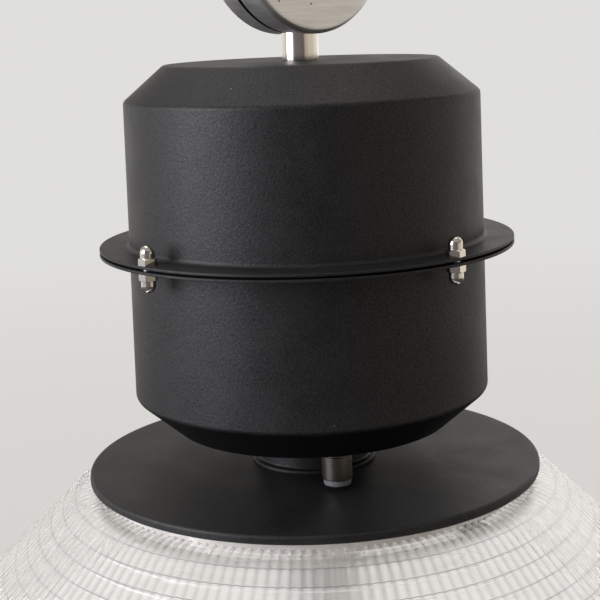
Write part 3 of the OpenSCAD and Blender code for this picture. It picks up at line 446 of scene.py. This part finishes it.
clearGlass = {
    # the first colour is the glass's own tint; the other three are painted shade for the ring lines, the
    # valley stripes and the teeth where the valleys start
    "tint": (1.0, 0.998, 0.994), "paintedRingLine": (0.53, 0.50, 0.55), "paintedValleyShade": (0.82, 0.815, 0.81),
    "start": (0.72, 0.69, 0.70),
    "roughness": (0.024, 0.036), "innerRoughness": 0.36, "ior": 1.45,
    "straight": 0.56, "innerStraight": 0.18,     # share of the light that isn't bent
    "ripple": 190.0, "swirl": 55.0, "swirlEdges": (0.35, 0.7), "bump": 0.012, "relief": 0.0003,
    "ribs": 160, "firstRing": 13.5, "ringPitch": 8.6,     # mm along the outer curve
    "lineHalf": 0.15, "lineFade": 2.2, "startLength": 2.8, "startFade": 0.25,
    "stripeEdges": (0.18, 0.47),     # shares of the way from one crest to the next
}


def makeClearGlass(look):
    finish, tree, shader, place = newFinish("pressedClearGlass")
    ripple = noiseAt(tree, place, look["ripple"])
    swirl = noiseAt(tree, place, look["swirl"], 2.0)
    inner = addNode(tree, "ShaderNodeAttribute", attribute_name="inside").outputs["Fac"]
    along = addNode(tree, "ShaderNodeAttribute", attribute_name="along").outputs["Fac"]
    # only the near wall's outer face carries the painted lines and shade, so the far wall doesn't draw them
    # twice
    behind = addNode(tree, "ShaderNodeNewGeometry").outputs["Backfacing"]
    outside = times(tree, minus(tree, 1.0, inner),
                    minus(tree, calculated(tree, "GREATER_THAN", along, 0.0), behind))
    # painted shade: a thin dark line where each ring prism ends, drawn in place of the prism step as it
    # shows through the glass
    turns = calculated(tree, "DIVIDE", minus(tree, along, look["firstRing"]), look["ringPitch"])
    paintedRingMask = ranged(tree, times(tree, offWhole(tree, turns), look["ringPitch"]),
                  (look["lineHalf"], look["lineHalf"] * look["lineFade"]), (1.0, 0.0))
    paintedRingMask = times(tree, paintedRingMask, calculated(tree, "GREATER_THAN", turns, -0.5))     # none above the first
    # painted shade: a soft darker stripe in each valley between ribs, and a painted shadow as a dark tooth
    # where the valley starts
    axes = axesOf(tree, place)
    turned = calculated(tree, "ARCTAN2", axes["Y"], axes["X"])
    crest = offWhole(tree, times(tree, turned, look["ribs"] / (2 * math.pi)))
    paintedValleyMask = ranged(tree, crest, look["stripeEdges"])
    paintedToothMask = added(tree, times(tree, crest, 2.0), calculated(tree, "DIVIDE", along, -look["startLength"]))
    paintedToothMask = ranged(tree, paintedToothMask, (0.0, look["startFade"]))
    tone = look["tint"]
    for mark, colour in ((paintedValleyMask, look["paintedValleyShade"]), (paintedToothMask, look["start"]), (paintedRingMask, look["paintedRingLine"])):
        tone = blended(tree, times(tree, mark, outside), tone, colour)
    haze = ranged(tree, swirl, look["swirlEdges"], look["roughness"])
    # light is bent with the root of the shader's colour, so the tone goes in squared
    feed(tree, shader,
         colour=productOf(tree, tone, tone),
         roughness=added(tree, haze, times(tree, inner, look["innerRoughness"])),
         ior=look["ior"],
         transmission=1.0,
         normal=bumped(tree, added(tree, ripple, swirl), look["bump"], look["relief"]))
    # part of the light goes straight through, so what lies behind stays pale, and shadows stay light
    through = addNode(tree, "ShaderNodeBsdfTransparent", {"Color": tone})
    shadow = addNode(tree, "ShaderNodeLightPath").outputs["Is Shadow Ray"]
    share = ranged(tree, inner, (0.0, 1.0), (look["straight"], look["innerStraight"]))
    mixShaders(tree, calculated(tree, "MAXIMUM", shadow, share), shader, through)
    return finish


bulbCoating = {
    "pale": (0.90, 0.895, 0.87), "shaded": (0.83, 0.83, 0.815),
    "powder": 520.0, "shade": (14.0, 14.0, 9.0),
    "roughness": (0.14, 0.22), "transmission": 0.12, "coat": 0.6, "bump": 0.04, "relief": 0.0001,
}


def makeBulbGlass(look):
    finish, tree, shader, place = newFinish("coatedBulbGlass")
    powder = noiseAt(tree, place, look["powder"])
    shade = streaksAt(tree, place, look["shade"], 2.0)
    feed(tree, shader,
         colour=blended(tree, ranged(tree, shade, noiseMiddle), look["pale"], look["shaded"]),
         roughness=ranged(tree, powder, noiseMiddle, look["roughness"]),
         normal=bumped(tree, powder, look["bump"], look["relief"]),
         transmission=look["transmission"],
         coat=look["coat"])
    return finish


# zinc, rubber and mouldings take a name, two colours and a roughness, and a moulding its bump too
finishes = {
    "black_powder": makePowderCoat(powderCoat),
    "polished_nickel": makePolishedNickel(nickelPlate),
    "brushed_nickel": makeBrushedNickel(brushedPlate),
    "cast_aluminium": makeCastAluminium(castFace),
    "forged_steel": makeZinc("forgedSteelPlated", (0.30, 0.29, 0.28), (0.56, 0.55, 0.53), (0.30, 0.46)),
    "zinc_steel": makeZinc("brightZinc", (0.42, 0.43, 0.44), (0.68, 0.69, 0.70), (0.22, 0.38)),
    "cap_metal": makeZinc("rolledCapMetal", (0.55, 0.55, 0.55), (0.80, 0.79, 0.77), (0.16, 0.30)),
    "capacitor_can": makeZinc("drawnCan", (0.60, 0.60, 0.61), (0.82, 0.82, 0.83), (0.20, 0.34)),
    "black_rubber": makeRubber("blackRubber", (0.014, 0.014, 0.014), (0.034, 0.033, 0.032), 0.62),
    "pale_rubber": makeRubber("paleSilicone", (0.74, 0.715, 0.67), (0.82, 0.795, 0.75), 0.48),
    "ivory_plastic": makeMoulded("ivoryMoulding", (0.72, 0.66, 0.52), (0.80, 0.75, 0.62), 0.36, 0.05),
    # painted shade: the white moulding is coloured a dark grey, as it looks in the shade under the can
    "white_plastic": makeMoulded("whiteMouldingPaintedShade", (0.17, 0.17, 0.18), (0.215, 0.215, 0.225), 0.38, 0.06),
    "black_plastic": makeMoulded("blackInsulator", (0.012, 0.012, 0.013), (0.028, 0.026, 0.025), 0.22, 0.05),
    "white_enamel": makeMoulded("whiteEnamel", (0.84, 0.84, 0.83), (0.90, 0.90, 0.89), 0.22, 0.03),
    "porcelain": makeMoulded("glazedPorcelain", (0.80, 0.79, 0.75), (0.88, 0.87, 0.84), 0.10, 0.03),
    "terminal_ceramic": makeMoulded("bareCeramic", (0.74, 0.70, 0.61), (0.84, 0.81, 0.73), 0.62, 0.10),
    "laminations": makeLaminations(laminations),
    "coil_copper": makeWinding(winding),
    "brass": makeBrass(brass),
    "prismatic_glass": makeClearGlass(clearGlass),
    "bulb_glass": makeBulbGlass(bulbCoating),
}
for part in frame["record"]["subparts"]:
    for slot in cadNodes[part["node"]].material_slots:
        slot.material = finishes[part["material_slot"]]
print("finishes made:", len(finishes))


# millimetres and degrees
glass = {
    "neckR": 110.5, "top": -342.3, "shoulder": -346.5, "neckChamfer": 1.0, "boreChamfer": 0.8,
    "shoulderRound": 22.8, "slope": 44.0, "rimR": 200.0, "bellRound": 92.0, "skirt": 29.0, "wall": 5.0,
    "shoulderSteps": 11, "bellSteps": 15,
    "innerSteps": (0.6, 0.3, 0.0),     # shares of the shoulder's turn
    # the rim's bead as out and down from the outer edge, then from the inner one
    "beadOutside": ((0.9, 0.4), (1.2, 1.6), (1.0, 3.4), (-0.3, 4.7), (-2.0, 5.0), (-3.8, 4.6)),
    "beadInside": ((-0.1, 3.0), (0.0, 0.0)),
    "ribs": clearGlass["ribs"], "ribDepth": 0.7,
    "ribCurve": (0.0, 0.30, 1.0, 0.30),      # share of the depth at each column from one crest to the next
    "firstRing": clearGlass["firstRing"], "rings": 17, "rimBand": 24.0, "ringDepth": 1.2,
    "offPattern": -4.0,      # stands for the length along the curve at points that aren't on it
    "sharp": 35.0,
}


def bellCurve(shape):
    # the outer curve as a function of the length along it, and the lengths of its stretches
    slope = math.radians(shape["slope"])
    turn = shape["shoulderRound"] * slope
    slopeR = shape["neckR"] + shape["shoulderRound"] * math.sin(slope)
    slopeZ = shape["shoulder"] - shape["shoulderRound"] * (1 - math.cos(slope))
    straight = (shape["rimR"] - shape["bellRound"] * (1 - math.sin(slope)) - slopeR) / math.cos(slope)
    bellR = slopeR + straight * math.cos(slope)
    bellZ = slopeZ - straight * math.sin(slope)
    bend = shape["bellRound"] * (math.pi / 2 - slope)

    def at(length, depth=0.0):
        # radius, height and steepness of the curve at that length, moved into the glass by depth
        if length < turn:
            steep = length / shape["shoulderRound"]
            r = shape["neckR"] + shape["shoulderRound"] * math.sin(steep)
            z = shape["shoulder"] - shape["shoulderRound"] * (1 - math.cos(steep))
        elif length < turn + straight:
            steep = slope
            r = slopeR + (length - turn) * math.cos(slope)
            z = slopeZ - (length - turn) * math.sin(slope)
        elif length < turn + straight + bend:
            steep = slope + (length - turn - straight) / shape["bellRound"]
            r = bellR + shape["bellRound"] * (math.sin(steep) - math.sin(slope))
            z = bellZ + shape["bellRound"] * (math.cos(steep) - math.cos(slope))
        else:
            steep = math.pi / 2
            r = shape["rimR"]
            z = (bellZ - shape["bellRound"] * math.cos(slope)) - (length - turn - straight - bend)
        return r - depth * math.sin(steep), z - depth * math.cos(steep), steep

    return at, turn, straight, bend, turn + straight + bend + shape["skirt"]


def buildGlass(shape):
    at, turn, straight, bend, whole = bellCurve(shape)
    bm = bmesh.new()
    ribLayer = bm.verts.layers.float.new("rib")
    steepLayer = bm.verts.layers.float.new("steep")
    sideLayer = bm.verts.layers.float.new("side")
    alongLayer = bm.verts.layers.float.new("along")

    def point(r, z, rib=0.0, steep=0.0, side=0.0, along=shape["offPattern"]):
        v = bm.verts.new((r * mm, 0.0, z * mm))
        v[ribLayer] = rib
        v[steepLayer] = steep
        v[sideLayer] = side
        v[alongLayer] = along
        return v

    # outer curve, from the neck down to the rim, where the ribs stand
    chain = [point(shape["neckR"] - shape["neckChamfer"], shape["top"]),
             point(shape["neckR"], shape["top"] - shape["neckChamfer"])]
    stops = [turn * i / shape["shoulderSteps"] for i in range(shape["shoulderSteps"])]
    stops += [turn, turn + straight]
    stops += [turn + straight + bend * i / shape["bellSteps"] for i in range(1, shape["bellSteps"] + 1)]
    stops += [whole]
    for length in stops:
        r, z, steep = at(length)
        chain.append(point(r, z, shape["ribDepth"] * mm, steep, along=length))
    rim = at(whole)[1]
    for edge, bead in ((shape["rimR"], shape["beadOutside"]),
                       (shape["rimR"] - shape["wall"], shape["beadInside"])):
        chain += [point(edge + out, rim - down) for out, down in bead]
    # ring prisms on the inside, from the rim up to the shoulder, three points each
    pitch = (whole - shape["firstRing"] - shape["rimBand"]) / shape["rings"]
    for i in range(shape["rings"], 0, -1):
        for back, deeper in ((0.0, -0.5), (0.5, 0.0), (1.0, 0.5)):
            r, z = at(shape["firstRing"] + (i - back) * pitch,
                      shape["wall"] + shape["ringDepth"] * deeper)[:2]
            chain.append(point(r, z, side=1.0))
    for share in shape["innerSteps"]:
        r, z = at(turn * share, shape["wall"])[:2]
        chain.append(point(r, z, side=1.0))
    bore = shape["neckR"] - shape["wall"]
    chain += [point(bore, shape["shoulder"] - shape["wall"]),
              point(bore, shape["top"] - shape["boreChamfer"]),
              point(bore + shape["boreChamfer"], shape["top"])]
    edges = [bm.edges.new((a, b)) for a, b in zip(chain, chain[1:] + chain[:1])]
    columns = shape["ribs"] * len(shape["ribCurve"])
    bmesh.ops.spin(bm, geom=chain + edges, cent=(0, 0, 0), axis=(0, 0, 1), dvec=(0, 0, 0),
                   angle=2 * math.pi, steps=columns, use_merge=True, use_duplicate=False)
    bmesh.ops.remove_doubles(bm, verts=bm.verts[:], dist=1e-7)
    # the columns between two crests go in, which leaves rounded ribs with sharp valleys
    for v in bm.verts:
        column = round(math.atan2(v.co.y, v.co.x) / (2 * math.pi) * columns)
        depth = shape["ribCurve"][column % len(shape["ribCurve"])] * v[ribLayer]
        if depth > 0:
            r = math.hypot(v.co.x, v.co.y)
            inward = (r - depth * math.sin(v[steepLayer])) / r
            v.co.x *= inward
            v.co.y *= inward
            v.co.z -= depth * math.cos(v[steepLayer])
    # the glass's finish reads which faces are on the inner curve
    insideFace = bm.faces.layers.float.new("inside")
    for face in bm.faces:
        if all(v[sideLayer] > 0.5 for v in face.verts):
            face[insideFace] = 1.0
    bmesh.ops.recalc_face_normals(bm, faces=bm.faces[:])
    return bm


def meshPiece(name, bm, finish, body, sharp):
    mesh = bpy.data.meshes.new(name)
    bm.to_mesh(mesh)
    bm.free()
    for face in mesh.polygons:
        face.use_smooth = True
    mesh.set_sharp_from_angle(angle=math.radians(sharp))
    piece = bpy.data.objects.new(name, mesh)
    bpy.context.scene.collection.objects.link(piece)
    piece.data.materials.append(finish)
    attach(piece, body)
    return piece


prismaticBell = meshPiece("prismatic_bell", buildGlass(glass), finishes["prismatic_glass"], "fixture",
                          glass["sharp"])
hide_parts("glass_shade")
print("prismatic glass:", len(prismaticBell.data.polygons), "faces")


studio = {
    "floorZ": -0.80, "floorR": 14.0, "floorSides": 96,
    "pale": (0.742, 0.735, 0.722),      # what the camera sees behind the lamp
    "near": (0.665, 0.640, 0.620),      # lower in the picture
    "paleFrom": (0.9, 3.4),             # distances over which near turns to pale
    "glowFrom": (0.45, 1.05),           # over which the floor glows in the camera's view
    "reflectFrom": (1.3, 3.0),          # over which the floor in a reflection turns to the room
    "floor": (0.74, 0.735, 0.725), "floorRoughness": (0.78, 0.88), "floorSpecular": 0.1, "floorCloud": 2.0,
    "bounce": (0.11, 0.11, 0.11),       # what the lamp itself gets back from the floor
    "through": (0.815, 0.798, 0.774),   # what the glass bends into view
    "upper": (0.10, 0.095, 0.09), "upperFrom": (0.06, 0.40), "upperDim": 0.85,
    "zenith": (0.37, 0.355, 0.335), "zenithFrom": (0.40, 0.60),
    "canMiddle": Vector((0.0, 0.0, -0.25)),
    "toCamera": Vector((-0.6756, -0.7373, 0.0)),
    "toLeft": Vector((-0.7373, 0.6756, 0.0)),      # the camera's left
}


# the room around the lamp as it shows in metal and in the black coat, by degrees to the left of the camera
roomTones = [
    (-180, (0.96, 0.91, 0.84)), (-116, (0.90, 0.85, 0.78)), (-104, (0.86, 0.79, 0.71)),
    (-84, (0.66, 0.61, 0.54)), (-60, (0.63, 0.57, 0.50)), (-34, (0.46, 0.40, 0.34)),
    (-22, (0.12, 0.10, 0.09)), (-12, (0.16, 0.14, 0.13)), (30, (0.18, 0.17, 0.18)),
    (44, (0.33, 0.33, 0.34)), (88, (0.56, 0.565, 0.60)), (98, (0.62, 0.62, 0.64)),
    (112, (0.88, 0.84, 0.79)), (180, (0.96, 0.91, 0.84)),
]


def roomTone(tree, way, room, tones):
    # tone of the room in the level direction of way
    ahead = measured(tree, "DOT_PRODUCT", way, room["toCamera"])
    left = measured(tree, "DOT_PRODUCT", way, room["toLeft"])
    around = ranged(tree, calculated(tree, "ARCTAN2", left, ahead), (-math.pi, math.pi))
    ramp = addNode(tree, "ShaderNodeValToRGB", {"Fac": around})
    marks = ramp.color_ramp.elements
    while len(marks) > 1:
        marks.remove(marks[-1])
    for i, (degrees, tone) in enumerate(tones):
        spot = (degrees + 180) / 360
        mark = marks[0] if i == 0 else marks.new(spot)
        mark.position = spot
        mark.color = (*tone, 1.0)
    return ramp.outputs["Color"]


def passedGlass(tree, path):
    # 1 for a ray that has gone through the glass
    passed = added(tree, path["Transmission Depth"], path["Transparent Depth"])
    return calculated(tree, "GREATER_THAN", passed, 0.5)


def seenThroughGlass(tree, path):
    # 1 for a ray that has passed the glass and met no matt surface
    matt = calculated(tree, "GREATER_THAN", path["Diffuse Depth"], 0.5)
    return times(tree, passedGlass(tree, path), minus(tree, 1.0, matt))


def makeFloorFinish(room, tones):
    finish, tree, shader, place = newFinish("paleFloor")
    away = productOf(tree, place, (1.0, 1.0, 0.0))
    distance = measured(tree, "LENGTH", away)
    cloud = noiseAt(tree, place, room["floorCloud"])
    path = addNode(tree, "ShaderNodeLightPath").outputs
    # the bulb inside the glass gets the floor's own tone back
    own = calculated(tree, "MAXIMUM", path["Is Camera Ray"], passedGlass(tree, path))
    feed(tree, shader,
         colour=blended(tree, own, room["bounce"], room["floor"]),
         roughness=ranged(tree, cloud, noiseMiddle, room["floorRoughness"]),
         specular=room["floorSpecular"])
    # the camera sees a pale floor that fades into the backdrop, and the lamp reflects a dark one
    bent = seenThroughGlass(tree, path)
    seen = calculated(tree, "MAXIMUM", path["Is Camera Ray"], bent)
    backdrop = blended(tree, ranged(tree, distance, room["paleFrom"]), room["near"], room["pale"])
    backdrop = blended(tree, bent, backdrop, room["through"])
    colour = blended(tree, seen, roomTone(tree, away, room, tones), backdrop)
    glow = addNode(tree, "ShaderNodeEmission", {"Color": colour, "Strength": 1.0})
    share = blended(tree, seen, ranged(tree, distance, room["reflectFrom"]),
                    ranged(tree, distance, room["glowFrom"]))
    share = blended(tree, bent, share, (1.0, 1.0, 1.0))
    mixShaders(tree, share, shader, glow)
    return finish


def makeFloor(room, tones):
    bm = bmesh.new()
    bmesh.ops.create_circle(bm, cap_ends=True, cap_tris=False,
                            segments=room["floorSides"], radius=room["floorR"])
    bmesh.ops.translate(bm, verts=bm.verts[:], vec=(0, 0, room["floorZ"]))
    mesh = bpy.data.meshes.new("studio_floor")
    bm.to_mesh(mesh)
    bm.free()
    floor = bpy.data.objects.new("studio_floor", mesh)
    bpy.context.scene.collection.objects.link(floor)
    mesh.materials.append(makeFloorFinish(room, tones))


def makeWorld(room, tones):
    world = bpy.data.worlds.new("studioWorld")
    bpy.context.scene.world = world
    world.use_nodes = True
    tree = world.node_tree
    tree.nodes.clear()
    way = addNode(tree, "ShaderNodeTexCoord").outputs["Generated"]
    height = axesOf(tree, way)["Z"]
    # the room gets darker above the lamp's level, and its ceiling is paler again
    tone = blended(tree, ranged(tree, height, room["upperFrom"], (0.0, room["upperDim"])),
                   roomTone(tree, way, room, tones), room["upper"])
    tone = blended(tree, ranged(tree, height, room["zenithFrom"]), tone, room["zenith"])
    path = addNode(tree, "ShaderNodeLightPath").outputs
    tone = blended(tree, path["Is Camera Ray"], tone, room["pale"])
    tone = blended(tree, seenThroughGlass(tree, path), tone, room["through"])
    background = addNode(tree, "ShaderNodeBackground", {"Color": tone, "Strength": 1.0})
    addNode(tree, "ShaderNodeOutputWorld", {"Surface": background.outputs[0]})


# left in degrees from the camera, above and away in metres from the can's middle
lamps = [
    {"name": "keyWindow", "left": 66.0, "above": 0.42, "away": 1.60, "size": (1.25, 1.20),
     "watts": 25.0, "colour": (0.93, 0.92, 1.0)},
    {"name": "backFill", "left": -150.0, "above": 0.50, "away": 1.80, "size": (1.40, 1.20),
     "watts": 1.6, "colour": (1.0, 0.97, 0.94)},
    {"name": "ceilingGlow", "left": 170.0, "above": 1.90, "away": 0.80, "size": (1.80, 1.80),
     "watts": 7.0, "colour": (1.0, 0.95, 0.89)},
]


def makeLamp(row, room):
    angle = math.radians(row["left"])
    way = room["toCamera"] * math.cos(angle) + room["toLeft"] * math.sin(angle)
    place = room["canMiddle"] + way * row["away"] + Vector((0, 0, row["above"]))
    data = bpy.data.lights.new(row["name"], "AREA")
    data.shape = "RECTANGLE"
    data.size, data.size_y = row["size"]
    data.energy = row["watts"]
    data.color = row["colour"]
    lamp = bpy.data.objects.new(row["name"], data)
    lamp.visible_transmission = False
    lamp.location = place
    lamp.rotation_euler = (room["canMiddle"] - place).to_track_quat("-Z", "Y").to_euler()
    bpy.context.scene.collection.objects.link(lamp)


makeFloor(studio, roomTones)
makeWorld(studio, roomTones)
for row in lamps:
    makeLamp(row, studio)
bpy.context.scene.view_settings.view_transform = "Standard"
print("studio ready")
